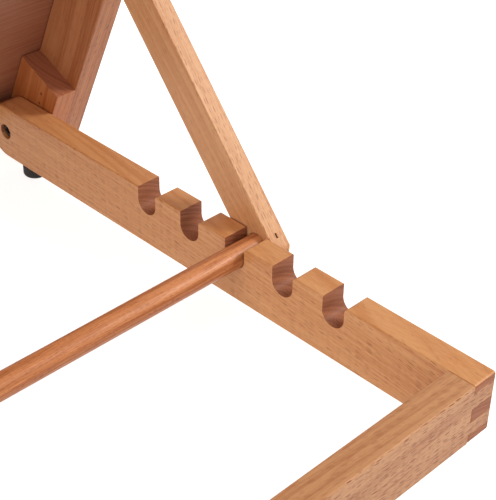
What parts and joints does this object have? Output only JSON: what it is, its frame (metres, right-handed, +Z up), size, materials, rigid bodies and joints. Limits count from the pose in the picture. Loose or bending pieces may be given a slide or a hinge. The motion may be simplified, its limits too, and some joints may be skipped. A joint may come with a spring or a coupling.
{
  "type": "tabletop drawing easel",
  "caption": "Wooden tabletop easel: a notched base frame, a hinged drawing board and a swinging prop whose dowel drops into the notches.",
  "frame": {"origin": "middle of the easel's bounding box at table height", "axes": "+Z up from the table, +Y from the artist towards the back of the easel, +X to the artist's right"},
  "size_m": [0.65, 0.4008, 0.4526],
  "materials": {
    "beech": "satin clear varnish on beech",
    "dowel_wood": "satin clear varnish on a redder hardwood dowel",
    "plywood": "satin clear varnish on a face veneer",
    "rubber": "matte black",
    "steel": "zinc plated, dulled"
  },
  "bodies": {
    "base": {"base_rail_left": "beech", "base_rail_right": "beech", "base_rear_rail": "beech", "foot_front_left": "rubber", "foot_front_right": "rubber", "foot_rear_left": "rubber", "foot_rear_right": "rubber", "foot_screw_front_left": "steel", "foot_screw_front_right": "steel", "foot_screw_rear_left": "steel", "foot_screw_rear_right": "steel"},
    "board": {"drawing_panel": "plywood", "paper_ledge": "beech", "ledge_screw_1": "steel", "ledge_screw_2": "steel", "ledge_screw_3": "steel", "side_batten_left": "beech", "side_batten_right": "beech", "spacer_block_left": "beech", "spacer_block_right": "beech", "block_nail_1_left": "steel", "block_nail_1_right": "steel", "block_nail_2_left": "steel", "block_nail_2_right": "steel", "board_hinge_bolt_left": "steel", "board_hinge_bolt_right": "steel", "board_hinge_nut_left": "steel", "board_hinge_nut_right": "steel", "strut_bolt_left": "steel", "strut_bolt_right": "steel", "strut_nut_left": "steel", "strut_nut_right": "steel", "strut_washer_left": "steel", "strut_washer_right": "steel"},
    "prop": {"strut_left": "beech", "strut_right": "beech", "prop_dowel": "dowel_wood", "dowel_brad_left": "steel", "dowel_brad_right": "steel"}
  },
  "joints": [
    {"name": "board_tilt", "type": "hinge", "parent": "base", "child": "board", "pos_m": [0, -0.15182, 0.0255], "axis": [1, 0, 0], "range_deg": [0, 35]},
    {"name": "prop_swing", "type": "hinge", "parent": "board", "child": "prop", "pos_m": [0, -0.07774, 0.18438], "axis": [1, 0, 0], "range_deg": [0, 115]}
  ]
}
